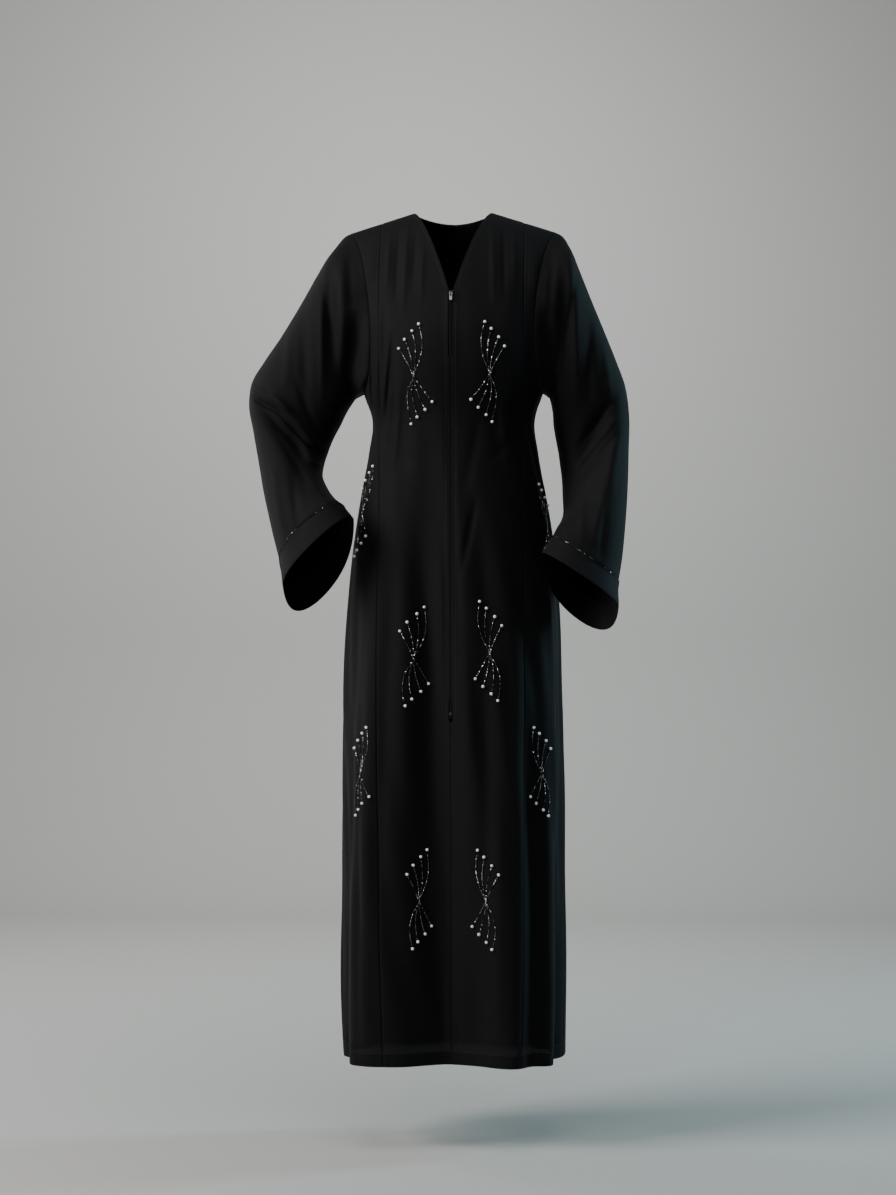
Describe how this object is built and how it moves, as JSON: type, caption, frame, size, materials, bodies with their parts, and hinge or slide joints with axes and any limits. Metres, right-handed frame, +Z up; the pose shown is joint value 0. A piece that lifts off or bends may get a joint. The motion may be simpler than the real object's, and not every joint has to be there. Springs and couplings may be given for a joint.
{
  "type": "abaya",
  "caption": "Long black abaya that keeps its worn, hollow shape, with a zipped V neck, princess seams, bent set-in sleeves and deep straight cuffs.",
  "frame": {"origin": "midway between the two neck points, where the wearer's shoulders and neck carry the garment", "axes": "+Z up along the length, -Y out of the front, -X the wearer's right side"},
  "size_m": [0.6353, 0.3176, 1.406],
  "materials": {
    "crepe": "matt, fine crepe weave",
    "cuff_crepe": "matt, fine crepe weave",
    "zip_tape": "matt woven tape",
    "slider_metal": "dark satin",
    "pull_metal": "polished"
  },
  "bodies": {
    "garment": {"front_centre_right": "crepe", "front_side_right": "crepe", "sleeve_right": "crepe", "cuff_right": "cuff_crepe", "zip_tape_right": "zip_tape", "front_centre_left": "crepe", "front_side_left": "crepe", "sleeve_left": "crepe", "cuff_left": "cuff_crepe", "zip_tape_left": "zip_tape", "back": "crepe", "zip_slider": "slider_metal", "zip_stop": "slider_metal"},
    "pull_tab": {"zip_pull": "pull_metal"}
  },
  "joints": [
    {"name": "pull_tab_hinge", "type": "hinge", "parent": "garment", "child": "pull_tab", "pos_m": [0, -0.1138, -0.14515], "axis": [-1, 0, 0], "range_deg": [0, 160]}
  ]
}
